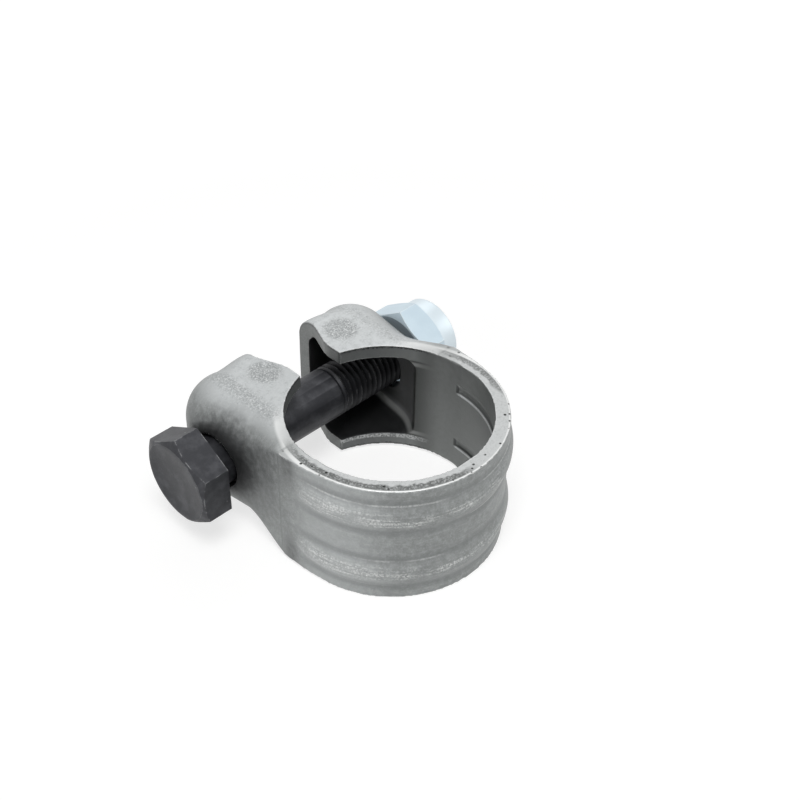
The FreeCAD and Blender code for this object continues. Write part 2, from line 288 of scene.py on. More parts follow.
# low carbon steel, pressed, then tumbled bare: satin grey, rubbed bright on edges and bead crowns,
# torn where the blank was sheared, stretched to a rough skin on top of the ears
def tumbledSteel():
    s = bandSteel
    material, tree, shader = newMaterial("tumbledPressedSteel")
    place = add(tree, "TexCoord").outputs["Object"]
    normal = add(tree, "NewGeometry").outputs["Normal"]
    x, y, z = add(tree, "SeparateXYZ", {0: place}).outputs
    normalX, _, normalZ = add(tree, "SeparateXYZ", {0: normal}).outputs
    lean, across, apart, height = [
        add(tree, "Math", {0: value}, operation="ABSOLUTE").outputs[0]
        for value in (normalZ, normalX, x, z)
    ]
    flatPlace = add(tree, "CombineXYZ", {0: x, 1: y}).outputs[0]
    radius = add(tree, "VectorMath", {0: flatPlace}, operation="LENGTH").outputs["Value"]
    turn = add(tree, "Math", {0: y, 1: x}, operation="ARCTAN2").outputs[0]

    # patterns, finest first
    fine, crack, mottle, stain = [
        add(tree, "TexNoise", {
            "Vector": place, "Scale": 1 / size, "Detail": detail, "Roughness": rough,
        }).outputs[0]
        for size, detail, rough in s["patterns"]
    ]
    drawnOut = []
    for length, width, shift, detail, rough in s["drawnOut"]:
        arc = add(tree, "Math", {0: turn, 1: bandHigh.x / length}, operation="MULTIPLY").outputs[0]
        row = add(tree, "Math", {0: z, 1: 1 / width}, operation="MULTIPLY").outputs[0]
        along = add(tree, "CombineXYZ", {0: arc, 1: row, 2: shift}).outputs[0]
        drawnOut.append(add(tree, "TexNoise", {
            "Vector": along, "Scale": 1, "Detail": detail, "Roughness": rough,
        }).outputs[0])
    drag, rub = drawnOut

    # which way a place looks: out, or back to the bore or into an ear's hollow
    onEar = add(tree, "MapRange", {0: y, **s["earSpan"]}, **soft).outputs[0]
    side = add(tree, "Math", {0: x}, operation="SIGN").outputs[0]
    earX = add(tree, "Math", {0: side, 1: s["earMiddle"][0]}, operation="MULTIPLY").outputs[0]
    earMiddle = add(tree, "CombineXYZ", {0: earX, 1: s["earMiddle"][1]}).outputs[0]
    centre = add(tree, "VectorMath", {0: earMiddle, 3: onEar}, operation="SCALE").outputs[0]
    outward = add(tree, "VectorMath", {0: place, 1: centre}, operation="SUBTRACT").outputs[0]
    outward = add(tree, "VectorMath", {0: outward}, operation="NORMALIZE").outputs[0]
    facing = add(tree, "VectorMath", {0: outward, 1: normal},
                 operation="DOT_PRODUCT").outputs["Value"]
    inside = add(tree, "MapRange", {0: facing, **s["insideSpan"]}, **soft).outputs[0]
    outside = add(tree, "Math", {0: 1.0, 1: inside}, operation="SUBTRACT").outputs[0]
    roundHalf = add(tree, "MapRange", {0: y, **s["roundSpan"], 4: outside}, **soft).outputs[0]

    # the outer skin: soft stains, pale and dark grain, faint drag marks round the bore
    stained = add(tree, "MapRange", {0: stain, **s["stained"]}, **soft).outputs[0]
    mottled = add(tree, "MapRange", {0: mottle, **s["mottled"]}).outputs[0]
    cracked = add(tree, "MapRange", {0: crack, **s["cracked"]}).outputs[0]
    grained = add(tree, "MapRange", {0: fine, **s["grained"]}, **soft).outputs[0]
    dragged = add(tree, "MapRange", {0: drag, **s["dragged"], 4: roundHalf}, **soft).outputs[0]

    # beads: crowns rubbed bright in patches, with a painted highlight added most on the -x side
    # where the front lamp falls; painted shade beside each foot, and a thin line along each foot
    fromBead = add(tree, "Math", {0: height, 1: s["beadCentre"]}, operation="SUBTRACT").outputs[0]
    fromBead = add(tree, "Math", {0: fromBead}, operation="ABSOLUTE").outputs[0]
    litSidePale = add(tree, "VectorMath", {0: flatPlace, 1: s["litSideDirection"]},
                 operation="DOT_PRODUCT").outputs["Value"]
    litSidePale = add(tree, "MapRange", {0: litSidePale, **s["litSideSpan"], 4: roundHalf}).outputs[0]
    rub = add(tree, "Math", {0: litSidePale, 1: s["litSideHighlight"], 2: rub},
              operation="MULTIPLY_ADD").outputs[0]
    crownRubAndHighlight = add(tree, "MapRange", {0: fromBead, **s["crownSpan"], 4: roundHalf}, **soft).outputs[0]
    for pattern, levels in zip((rub, drag, crack), s["crownRubAndHighlight"]):
        crownRubAndHighlight = add(tree, "MapRange", {0: pattern, **levels, 4: crownRubAndHighlight}, **soft).outputs[0]
    # painted shade beside each bead's foot
    footShade = lineMark(tree, fromBead, s["footShade"], roundHalf, **soft)
    footLine = lineMark(tree, fromBead, s["footLine"], roundHalf, **soft)
    footLine = add(tree, "MapRange", {0: stain, **s["footStained"], 4: footLine}, **soft).outputs[0]
    footLine = add(tree, "MapRange", {0: crack, **s["footCracked"], 4: footLine}).outputs[0]
    crownRubAndHighlight = add(tree, "Math", {0: crownRubAndHighlight, 1: s["crownShine"]}, operation="MULTIPLY").outputs[0]
    crownRubAndHighlight = add(tree, "Math", {0: footLine, 1: s["footShine"], 2: crownRubAndHighlight},
                 operation="MULTIPLY_ADD").outputs[0]

    # painted light on top of the ears, the right one more, with rough patches where the sheet was
    # stretched most
    earTop = add(tree, "MapRange", {0: lean, **s["topLean"], 4: onEar}, **soft).outputs[0]
    earTopLight = add(tree, "MapRange", {0: x, **s["earTopLight"]}).outputs[0]
    earTopLight = add(tree, "Math", {0: earTop, 1: earTopLight}, operation="MULTIPLY").outputs[0]
    earSpecks = add(tree, "MapRange", {0: mottle, **s["specksMottled"], 4: earTop}).outputs[0]
    earSpecks = add(tree, "MapRange", {0: crack, **s["specksCracked"], 4: earSpecks}).outputs[0]
    ridge = add(tree, "MapRange", {0: radius, **s["ridgeRise"]}).outputs[0]
    for value, name in ((radius, "ridgeEdge"), (y, "ridgeStart"), (y, "ridgeEnd")):
        ridge = add(tree, "MapRange", {0: value, **s[name], 4: ridge}, **soft).outputs[0]
    ridge = add(tree, "MapRange", {0: lean, **s["ridgeLean"], 4: ridge}).outputs[0]
    streak = add(tree, "MapRange", {0: x, **s["streakShare"]}).outputs[0]
    peel = lineMark(tree, apart, s["streak"], streak)
    peel = add(tree, "MapRange", {0: y, **s["streakStart"], 4: peel}).outputs[0]
    for patchX, patchY, reach in s["patches"]:
        away = add(tree, "VectorMath", {0: flatPlace, 1: (patchX, patchY, 0)},
                   operation="DISTANCE").outputs["Value"]
        patch = add(tree, "MapRange", {0: away, 1: reach, 2: s["patchCore"] * reach}).outputs[0]
        peel = add(tree, "Math", {0: peel, 1: patch}, operation="MAXIMUM").outputs[0]
    peel = add(tree, "Math", {0: peel, 1: earTop}, operation="MULTIPLY").outputs[0]
    peel = add(tree, "MapRange", {0: mottle, **s["peelMottled"], 4: peel}, **soft).outputs[0]
    peelSpots = add(tree, "MapRange", {0: crack, **s["peelSpots"], 4: peel}).outputs[0]
    peelPale = add(tree, "MapRange", {0: crack, **s["peelPale"], 4: peel}).outputs[0]

    # painted shadow and dark reflection of the bolt heads beside the bolt's holes, and fainter
    # painted shade further out on the webs
    shadowPlace = add(tree, "CombineXYZ", {0: y, 1: z}).outputs[0]
    fromShadow = add(tree, "VectorMath", {0: shadowPlace, 1: s["shadowPlace"]},
                   operation="DISTANCE").outputs["Value"]
    wander = add(tree, "MapRange", {0: mottle, **s["shadowWander"]}).outputs[0]
    fromShadow = add(tree, "Math", {0: fromShadow, 1: wander}, operation="ADD").outputs[0]
    boltShadow = add(tree, "MapRange", {0: fromShadow, **s["shadowReach"]}, **soft).outputs[0]
    webShade = add(tree, "MapRange", {0: fromShadow, **s["webShadeReach"]}, **soft).outputs[0]
    webShade = add(tree, "MapRange", {0: lean, **s["webLean"], 4: webShade}).outputs[0]
    webShade = add(tree, "MapRange", {0: y, **s["webShadeStart"], 4: webShade}).outputs[0]

    # sections of the sheet at the slot, dark along their outer border
    section = add(tree, "MapRange", {0: across, **s["sectionFacing"]}).outputs[0]
    section = add(tree, "MapRange", {0: apart, **s["slotReach"], 4: section}).outputs[0]
    section = add(tree, "Math", {0: section, 1: onEar}, operation="MULTIPLY").outputs[0]
    sectionGrain = add(tree, "MapRange", {0: crack, **s["sectionGrain"]}).outputs[0]
    hoodMiddle = add(tree, "CombineXYZ", {0: x, 1: s["hoodMiddle"]}).outputs[0]
    hoodOut = add(tree, "VectorMath", {0: place, 1: hoodMiddle}, operation="SUBTRACT").outputs[0]
    hoodOut = add(tree, "VectorMath", {0: hoodOut}, operation="NORMALIZE").outputs[0]
    border = add(tree, "Bevel", {"Radius": s["borderWidth"]}, samples=8).outputs[0]
    border = add(tree, "VectorMath", {0: border, 1: hoodOut},
                 operation="DOT_PRODUCT").outputs["Value"]
    border = add(tree, "MapRange", {0: border, **s["borderFacing"]}, **soft).outputs[0]
    sectionTone = layCoats(tree, s["scale"], [
        (sectionGrain, 1, s["section"]),
        (border, 0.85, s["hollow"]),
    ])

    # the bore keeps its mill scale; painted shade darkens it into the ears and in their hollows,
    # nearly to black on the hollows' floors, and painted light pales the hollows' side walls
    wall, sideWallLight, hollow = [
        add(tree, "MapRange", {0: y, **s[name]}, **soft).outputs[0]
        for name in ("wallSpan", "sideSpan", "hollowSpan")
    ]
    floor = add(tree, "MapRange", {0: lean, **s["floorLean"], 4: onEar}).outputs[0]
    fold = lineMark(tree, height, s["foldLine"], onEar, **soft)
    # the bore's two grooves: a painted highlight along the bottom, painted shade above it, a
    # painted shade tick at each end, and painted light on the upper wall against its own shading
    grooved = add(tree, "MapRange", {0: y, **s["grooveEnd"]}).outputs[0]
    above = add(tree, "Math", {0: z}, operation="SIGN").outputs[0]
    above = add(tree, "Math", {0: above, 1: -s["beadCentre"], 2: z},
                operation="MULTIPLY_ADD").outputs[0]
    grooveUpperLight = add(tree, "MapRange", {0: above, **s["grooveLow"], 4: grooved}).outputs[0]
    grooveUpperLight = add(tree, "MapRange", {0: above, **s["grooveHigh"], 4: grooveUpperLight}).outputs[0]
    grooveEndShade = lineMark(tree, y, s["grooveEndShade"])
    grooveEndShade = add(tree, "MapRange", {0: fromBead, **s["grooveEndShadeHeight"], 4: grooveEndShade}).outputs[0]
    boreTone = layCoats(tree, s["bore"], [
        (mottle, 1, s["satin"]),
        (wall, 1, s["wall"]),
        (sideWallLight, 1, s["side"]),
        (hollow, 1, s["hollow"]),
        (floor, 1, s["deep"]),
        (fold, 1, s["fold"]),
        (grooveUpperLight, 0.5, s["fold"]),
        (lineMark(tree, above, s["grooveShadeLine"], grooved), 0.7, s["deep"]),
        (lineMark(tree, above, s["grooveHighlightLine"], grooved), 0.9, s["pale"]),
        (grooveEndShade, 0.7, s["deep"]),
    ])

    # sheared edges of the ears' walls: dark along their outer corner, a burr on the lower one
    fromTrim = add(tree, "VectorMath", {0: flatPlace, 1: s["trimCentre"]},
                   operation="DISTANCE").outputs["Value"]
    steep = add(tree, "MapRange", {0: lean, **s["shearLean"]}).outputs[0]
    sheared = add(tree, "MapRange", {0: height, **s["shearHeight"], 4: steep}, **soft).outputs[0]
    sheared = add(tree, "MapRange", {0: fromTrim, **s["trimReach"], 4: sheared}).outputs[0]
    sheared = add(tree, "MapRange", {0: y, **s["shearStart"], 4: sheared}).outputs[0]
    shearPale = add(tree, "MapRange", {0: y, **s["shearPale"]}).outputs[0]
    ragged = add(tree, "MapRange", {0: crack, **s["raggedness"]}).outputs[0]
    ragged = add(tree, "Math", {0: height, 1: ragged}, operation="ADD").outputs[0]
    ragged = add(tree, "MapRange", {0: ragged, **s["raggedHeight"]}).outputs[0]
    shearedTone = layCoats(tree, s["sheared"], [
        (crack, 1, s["scale"]),
        (shearPale, 0.6, s["satin"]),
        (ragged, 1, s["pit"]),
    ])
    burr = add(tree, "MapRange", {0: z, **s["burrLow"], 4: sheared}).outputs[0]
    burr = add(tree, "MapRange", {0: z, **s["burrHigh"], 4: burr}).outputs[0]
    burr = add(tree, "MapRange", {0: crack, **s["burrCracked"], 4: burr}).outputs[0]

    # rims: smooth by the bore and torn outside, but for where the shear was sharp; a few pits
    rim = add(tree, "MapRange", {0: height, **s["rimSpan"]}).outputs[0]
    rim = add(tree, "MapRange", {0: lean, **s["rimLean"], 4: rim}, **soft).outputs[0]
    rim = add(tree, "MapRange", {0: y, **s["rimEnd"], 4: rim}, **soft).outputs[0]
    rimGrain = add(tree, "MapRange", {0: crack, **s["rimGrain"]}).outputs[0]
    rimTone = layCoats(tree, s["rim"], [(rimGrain, 0.6, s["satin"])])
    outerEdge = add(tree, "MapRange", {0: radius, **s["outerEdgeEnd"], 4: rim}).outputs[0]
    outerEdge = add(tree, "MapRange", {0: radius, **s["outerEdgeStart"], 4: outerEdge}).outputs[0]
    wander = add(tree, "MapRange", {0: mottle, **s["tornWander"]}).outputs[0]
    wander = add(tree, "Math", {0: radius, 1: wander}, operation="ADD").outputs[0]
    torn = add(tree, "MapRange", {0: wander, **s["tornStart"], 4: rim}).outputs[0]
    torn = add(tree, "MapRange", {0: radius, **s["tornEnd"], 4: torn}).outputs[0]
    tornSides = []
    for direction, reach in s["tornSides"]:
        toward = add(tree, "VectorMath", {0: flatPlace, 1: direction},
                     operation="DOT_PRODUCT").outputs["Value"]
        tornSides.append(add(tree, "MapRange", {0: toward, **reach}, **soft).outputs[0])
    tornSide = add(tree, "Math", {0: tornSides[0], 1: tornSides[1]}, operation="MAXIMUM").outputs[0]
    torn = add(tree, "Math", {0: torn, 1: tornSide}, operation="MULTIPLY").outputs[0]
    tornGrain = add(tree, "MapRange", {0: crack, **s["tornGrain"]}).outputs[0]
    tornTone = layCoats(tree, s["torn"], [(tornGrain, 1, s["rim"])])
    pits = add(tree, "TexVoronoi", {"Vector": place, "Scale": 1 / s["pitSize"]}).outputs["Distance"]
    pits = add(tree, "MapRange", {0: pits, **s["pitReach"], 4: rim}, **soft).outputs[0]
    pits = add(tree, "MapRange", {0: radius, **s["pitStart"], 4: pits}).outputs[0]

    # painted shade along the crease that ends each shoulder and beside it, and edges rubbed bright
    # by tumbling
    crease = lineMark(tree, y, s["crease"], outside, **soft)
    creaseShade = add(tree, "MapRange", {0: mottle, **s["creaseMottled"], 4: crease}).outputs[0]
    shoulderShade = lineMark(tree, y, s["shoulderShadeLine"], outside, **soft)
    shoulderShade = add(tree, "MapRange", {0: height, **s["shoulderHeight"], 4: shoulderShade},
                   **soft).outputs[0]
    shoulderShade = add(tree, "MapRange", {0: lean, **s["shoulderLean"], 4: shoulderShade}).outputs[0]
    shoulderShade = add(tree, "MapRange", {0: mottle, **s["shoulderMottled"], 4: shoulderShade}).outputs[0]
    rounded = add(tree, "Bevel", {"Radius": s["wornWidth"]}, samples=6).outputs[0]
    bend = add(tree, "VectorMath", {0: rounded, 1: normal},
               operation="DOT_PRODUCT").outputs["Value"]
    worn = add(tree, "MapRange", {0: bend, **s["wornBend"], 4: outside}, **soft).outputs[0]
    worn = add(tree, "MapRange", {0: crack, **s["wornCracked"], 4: worn}, **soft).outputs[0]
    worn = add(tree, "Math", {0: worn, 1: s["wornShine"]}, operation="MULTIPLY").outputs[0]

    tone = layCoats(tree, s["satin"], [
        (stained, 0.3, s["scale"]),
        (mottled, 0.3, s["pale"]),
        (cracked, 0.22, s["pale"]),
        (grained, 0.35, s["scale"]),
        (dragged, 0.12, s["pale"]),
        # painted light on the band's -x side
        (litSidePale, 0.32, s["pale"]),
        # painted shade beside the beads' feet
        (footShade, 0.4, s["scale"]),
        (crownRubAndHighlight, 1, s["burnished"]),
        # painted light on the ears' tops
        (earTopLight, 1, s["pale"]),
        (earSpecks, 0.45, s["scale"]),
        (ridge, 0.55, s["burnished"]),
        (peelPale, 0.5, s["burnished"]),
        (peelSpots, 0.55, s["scale"]),
        # painted shadow by the bolt's holes and painted shade on the webs
        (boltShadow, 0.88, s["boltShadow"]),
        (webShade, 0.35, s["hollow"]),
        (section, 1, sectionTone),
        (inside, 1, boreTone),
        (sheared, 1, shearedTone),
        (burr, 1, s["rim"]),
        (rim, 1, rimTone),
        (outerEdge, 0.75, s["burnished"]),
        (torn, 1, tornTone),
        (pits, 1, s["pit"]),
        # painted shade along the creases and beside them
        (creaseShade, 0.45, s["scale"]),
        (shoulderShade, 0.7, s["hollow"]),
        (worn, 1, s["burnished"]),
    ])
    bright = add(tree, "Math", {0: worn, 1: crownRubAndHighlight}, operation="MAXIMUM").outputs[0]
    rough = add(tree, "MapRange", {0: mottle, **s["roughness"]}).outputs[0]
    rough = add(tree, "Mix", {0: bright, 2: rough, 3: s["shinyRoughness"]}).outputs[0]
    rough = add(tree, "Mix", {0: torn, 2: rough, 3: s["tornRoughness"]}).outputs[0]
    relief = add(tree, "Math", {0: fine, 1: mottle}, operation="ADD").outputs[0]
    for dent in (peelSpots, torn, pits, crease):
        relief = add(tree, "Math", {0: relief, 1: dent}, operation="SUBTRACT").outputs[0]
    finishMaterial(tree, shader, tone, rough, relief, s)
    return material


boltSteel = {
    "black": "#2f3034",
    "dust": "#515256",
    "oil": "#17181a",
    "bare": "#8e8f90",
    # size, detail and roughness of the rubbing and the grain
    "patterns": [(3.0 * mm, 4, 0.6), (0.25 * mm, 3, 0.6)],
    "dusty": span(0.4, 0.75),
    "knocked": span(0.5, 0.6),
    "oilCover": 1.4,
    "nickSize": 4.5 * mm,
    "nickReach": span(0.07, 0.04, 0, 0.4),
    "edgeWidth": 0.3 * mm,
    "edgeBend": span(0.99, 0.92),
    "oiledSpan": span(boltHigh.x - 33 * mm, boltHigh.x - 27 * mm, 0, 0.75),
    "metallic": 0.5,
    "roughness": span(0, 1, 0.38, 0.58),
    "bumpStrength": 0.35,
    "bumpDepth": 0.05 * mm,
}


# medium carbon steel, black oxide over a forged and machined surface: satin, oily on the thread,
# bare where edges were knocked
def blackOxide():
    s = boltSteel
    material, tree, shader = newMaterial("blackOxideSteel")
    place = add(tree, "TexCoord").outputs["Object"]
    normal = add(tree, "NewGeometry").outputs["Normal"]
    along = add(tree, "SeparateXYZ", {0: place}).outputs[0]
    rub, fine = [
        add(tree, "TexNoise", {
            "Vector": place, "Scale": 1 / size, "Detail": detail, "Roughness": rough,
        }).outputs[0]
        for size, detail, rough in s["patterns"]
    ]
    dusty = add(tree, "MapRange", {0: rub, **s["dusty"]}, **soft).outputs[0]
    oiled = add(tree, "MapRange", {0: along, **s["oiledSpan"]}, **soft).outputs[0]
    rounded = add(tree, "Bevel", {"Radius": s["edgeWidth"]}, samples=6).outputs[0]
    bend = add(tree, "VectorMath", {0: rounded, 1: normal},
               operation="DOT_PRODUCT").outputs["Value"]
    knocked = add(tree, "MapRange", {0: rub, **s["knocked"]}, **soft).outputs[0]
    knocked = add(tree, "MapRange", {0: bend, **s["edgeBend"], 4: knocked}, **soft).outputs[0]
    knocked = add(tree, "MapRange", {0: oiled, 2: s["oilCover"], 3: knocked, 4: 0}).outputs[0]
    nicks = add(tree, "TexVoronoi", {
        "Vector": place, "Scale": 1 / s["nickSize"],
    }).outputs["Distance"]
    nicks = add(tree, "MapRange", {0: nicks, **s["nickReach"]}, **soft).outputs[0]
    bare = add(tree, "Math", {0: knocked, 1: nicks}, operation="MAXIMUM").outputs[0]
    tone = layCoats(tree, s["black"], [
        (dusty, 0.6, s["dust"]),
        (oiled, 1, s["oil"]),
        (bare, 1, s["bare"]),
    ])
    rough = add(tree, "MapRange", {0: fine, **s["roughness"]}).outputs[0]
    finishMaterial(tree, shader, tone, rough, fine, s)
    return material


zinc = {
    "plate": "#d0e1eb",
    "shade": "#c3d5e0",
    "bright": "#eef4f6",
    # size, detail and roughness of the bloom and the grain
    "patterns": [(5.0 * mm, 3, 0.5), (0.3 * mm, 3, 0.6)],
    "bloomed": span(0.35, 0.7),
    "edgeWidth": 0.35 * mm,
    "edgeBend": span(0.99, 0.92),
    "collarLightSpan": span(nutLow.x + 6.9 * mm, nutLow.x + 7.4 * mm),
    "metallic": 0.45,
    "roughness": span(0, 1, 0.3, 0.46),
    "bumpStrength": 0.2,
    "bumpDepth": 0.03 * mm,
}


# carbon steel, clear blue passivated zinc: pale, bluish and bright, with painted light making the
# turned collar palest
def clearZinc():
    s = zinc
    material, tree, shader = newMaterial("clearZincPlate")
    place = add(tree, "TexCoord").outputs["Object"]
    normal = add(tree, "NewGeometry").outputs["Normal"]
    along = add(tree, "SeparateXYZ", {0: place}).outputs[0]
    bloom, fine = [
        add(tree, "TexNoise", {
            "Vector": place, "Scale": 1 / size, "Detail": detail, "Roughness": rough,
        }).outputs[0]
        for size, detail, rough in s["patterns"]
    ]
    bloomed = add(tree, "MapRange", {0: bloom, **s["bloomed"]}, **soft).outputs[0]
    rounded = add(tree, "Bevel", {"Radius": s["edgeWidth"]}, samples=6).outputs[0]
    bend = add(tree, "VectorMath", {0: rounded, 1: normal},
               operation="DOT_PRODUCT").outputs["Value"]
    edge = add(tree, "MapRange", {0: bend, **s["edgeBend"]}, **soft).outputs[0]
    # painted light on the collar
    collarLight = add(tree, "MapRange", {0: along, **s["collarLightSpan"]}).outputs[0]
    tone = layCoats(tree, s["plate"], [
        (bloomed, 0.6, s["shade"]),
        (edge, 0.8, s["bright"]),
        (collarLight, 0.45, s["bright"]),
    ])
    rough = add(tree, "MapRange", {0: fine, **s["roughness"]}).outputs[0]
    finishMaterial(tree, shader, tone, rough, fine, s)
    return material


nylon = {
    "natural": "#f1f0e8",
    "shade": "#e4e2d6",
    "grainSize": 0.5 * mm,
    "grainDetail": 3,
    "roughness": 0.42,
    "translucence": 0.15,
    "translucentDepth": (1.0 * mm, 1.0 * mm, 0.8 * mm),
    "bumpStrength": 0.15,
    "bumpDepth": 0.05 * mm,
}


# natural polyamide, moulded: off white and a little translucent
def naturalNylon():
    s = nylon
    material, tree, shader = newMaterial("naturalNylon")
    place = add(tree, "TexCoord").outputs["Object"]
    fine = add(tree, "TexNoise", {
        "Vector": place, "Scale": 1 / s["grainSize"], "Detail": s["grainDetail"],
    }).outputs[0]
    tone = layCoats(tree, s["natural"], [(fine, 1, s["shade"])])
    bump = add(tree, "Bump", {
        "Strength": s["bumpStrength"], "Distance": s["bumpDepth"], "Height": fine,
    })
    tree.links.new(tone, shader.inputs["Base Color"])
    tree.links.new(bump.outputs[0], shader.inputs["Normal"])
    shader.inputs["Roughness"].default_value = s["roughness"]
    shader.inputs["Subsurface Weight"].default_value = s["translucence"]
    shader.inputs["Subsurface Radius"].default_value = s["translucentDepth"]
    return material


band = {
    "voxel": 0.3 * mm,
    "smoothSteps": 3,
    "smoothShare": 0.5,
    "waveSize": 9.0 * mm,
    "waveHeight": 0.12 * mm,
}


# the CAD band with its edges rolled over and its faces uneven, as press and drum leave them
def dressBand(material):
    s = band
    piece = nodes["clamp_band"]
    skin = piece.modifiers.new("skin", "REMESH")
    skin.mode = "VOXEL"
    skin.voxel_size = s["voxel"]
    skin.use_smooth_shade = True
    edges = piece.modifiers.new("tumbledEdges", "SMOOTH")
    edges.factor = s["smoothShare"]
    edges.iterations = s["smoothSteps"]
    wave = bpy.data.textures.new("pressWaves", "CLOUDS")
    wave.noise_scale = s["waveSize"]
    wave.noise_depth = 1
    waves = piece.modifiers.new("pressWaves", "DISPLACE")
    waves.texture = wave
    waves.texture_coords = "LOCAL"
    waves.strength = s["waveHeight"]
    waves.mid_level = 1.0
    piece.data.materials.clear()
    piece.data.materials.append(material)


weldDistance = 0.002 * mm
sharpAngle = 28.0
turnsPerSide = 16
hexTurns = [math.radians(60 / turnsPerSide * step) for step in range(6 * turnsPerSide)]


def newPiece(name, bm, material, body, replacedNode):
    bmesh.ops.recalc_face_normals(bm, faces=bm.faces)
    mesh = bpy.data.meshes.new(name)
    bm.to_mesh(mesh)
    bm.free()
    for polygon in mesh.polygons:
        polygon.use_smooth = True
    mesh.set_sharp_from_angle(angle=math.radians(sharpAngle))
    mesh.materials.append(material)
    piece = bpy.data.objects.new(name, mesh)
    bpy.context.scene.collection.objects.link(piece)
    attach(piece, body)
    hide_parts(replacedNode)


# joins rings of vertices about the bolt's axis; along and radius may depend on the turn
def ringSkin(bm, rings, turns):
    loops = []
    for along, radius in rings:
        loop = []
        for t in turns:
            a = along(t) if callable(along) else along
            r = radius(t) if callable(radius) else radius
            loop.append(bm.verts.new((a, boltY + r * math.sin(t), r * math.cos(t))))
        loops.append(loop)
    for low, high in zip(loops, loops[1:]):
        for i in range(len(turns)):
            j = (i + 1) % len(turns)
            bm.faces.new((low[i], low[j], high[j], high[i]))
    return loops


# distance from the bolt's axis to a hexagon's side, turned from the top corner
def hexSide(acrossFlats, t):
    return acrossFlats / 2 / math.cos((t % (math.pi / 3)) - math.pi / 6)


bolt = {
    "acrossFlats": 19.0 * mm,
    "washerFace": 8.8 * mm,
    "washerHeight": 0.6 * mm,
    "washerTaper": 0.15 * mm,
    "headHeight": 7.5 * mm,
    "faceRadius": 9.0 * mm,
    "chamferAngle": 30.0,
    "dish": 0.25 * mm,
    "dishCentre": 1.5 * mm,
    "dishRadius": 7.4 * mm,
    "lipRadius": 8.1 * mm,
    "shankRadius": 5.9 * mm,
    "crestRadius": 5.92 * mm,
    "rootRadius": 4.98 * mm,
    "pitch": 1.5 * mm,
    "threadLength": 30.0 * mm,
    # shares of the pitch: half the flat of a crest, the run of a flank, the length of the run-out
    "crestHalf": 0.0625,
    "flankRun": 0.375,
    "runOut": 1.6,
    "endRadius": 4.6 * mm,
    "filletRadius": 0.6 * mm,
    "filletMiddle": 0.3,
    "threadSteps": 16,
}


def makeBolt(material):
    s = bolt
    face = boltLow.x
    seat = face + s["headHeight"]
    end = boltHigh.x
    start = end - s["threadLength"]
    fillet = s["filletRadius"]
    filletMiddle = s["filletMiddle"] * fillet
    shank = s["shankRadius"]
    slope = math.tan(math.radians(s["chamferAngle"]))
    side = lambda t: hexSide(s["acrossFlats"], t)
    rings = [
        (face + s["dish"], s["dishCentre"]),
        (face + s["dish"], s["dishRadius"]),
        (face, s["lipRadius"]),
        (face, s["faceRadius"]),
        (lambda t: face + (side(t) - s["faceRadius"]) * slope, side),
        (seat - s["washerHeight"], side),
        (seat - s["washerHeight"], s["washerFace"]),
        (seat, s["washerFace"] - s["washerTaper"]),
        (seat, shank + fillet),
        (seat + filletMiddle, shank + filletMiddle),
        (seat + fillet, shank),
        (start, shank),
    ]
    bm = bmesh.new()
    loops = ringSkin(bm, rings, hexTurns)
    bm.faces.new(loops[0])
    # the thread is one helical grid that runs out into the shank and into the end's chamfer
    steps = s["threadSteps"]
    columns = len(hexTurns)
    depth = s["crestRadius"] - s["rootRadius"]
    grid = []
    for i in range(-steps, int(s["threadLength"] / s["pitch"] * steps) + steps + 1):
        turnShare = (i % steps) / steps
        flank = min(max((abs(turnShare - 0.5) - s["crestHalf"]) / s["flankRun"], 0), 1)
        row = []
        for k, t in enumerate(hexTurns):
            along = min(max(start + s["pitch"] * (i / steps + k / columns), start), end)
            runOut = min(1.0, (along - start) / (s["runOut"] * s["pitch"]))
            r = s["crestRadius"] - depth * (1 - flank) * runOut
            r = min(r, s["endRadius"] + end - along)
            if along <= start:
                r = shank
            row.append(bm.verts.new((along, boltY + r * math.sin(t), r * math.cos(t))))
        grid.append(row)
    for i in range(len(grid) - 1):
        for k in range(columns - 1):
            bm.faces.new((grid[i][k], grid[i][k + 1], grid[i + 1][k + 1], grid[i + 1][k]))
        if i + 1 + steps < len(grid):
            bm.faces.new((grid[i][-1], grid[i + steps][0], grid[i + 1 + steps][0], grid[i + 1][-1]))
    bmesh.ops.remove_doubles(bm, verts=bm.verts, dist=weldDistance)
    onEnd = [v for v in bm.verts if abs(v.co.x - end) < weldDistance / 2]
    tip = [v for v in onEnd if any(e.is_boundary for e in v.link_edges)]
    tip.sort(key=lambda v: math.atan2(v.co.y - boltY, v.co.z))
    bm.faces.new(tip)
    newPiece("hexBolt", bm, material, "bolt", "hex_bolt")


lockNut = {
    "acrossFlats": 19.0 * mm,
    "hexHeight": 7.5 * mm,
    "faceRadius": 9.2 * mm,
    "chamferAngle": 30.0,
    "collarRadius": 8.7 * mm,
    "crimpRadius": 7.0 * mm,
    "crimpThickness": 0.8 * mm,
    "crimpAngles": (90, 67, 45, 22, 0),
    "crimpBreak": 0.25 * mm,
    "wall": 1.0 * mm,
    "boreRadius": 5.98 * mm,
    "boreChamfer": 0.7 * mm,
    "nylonHeight": 3.0 * mm,
}


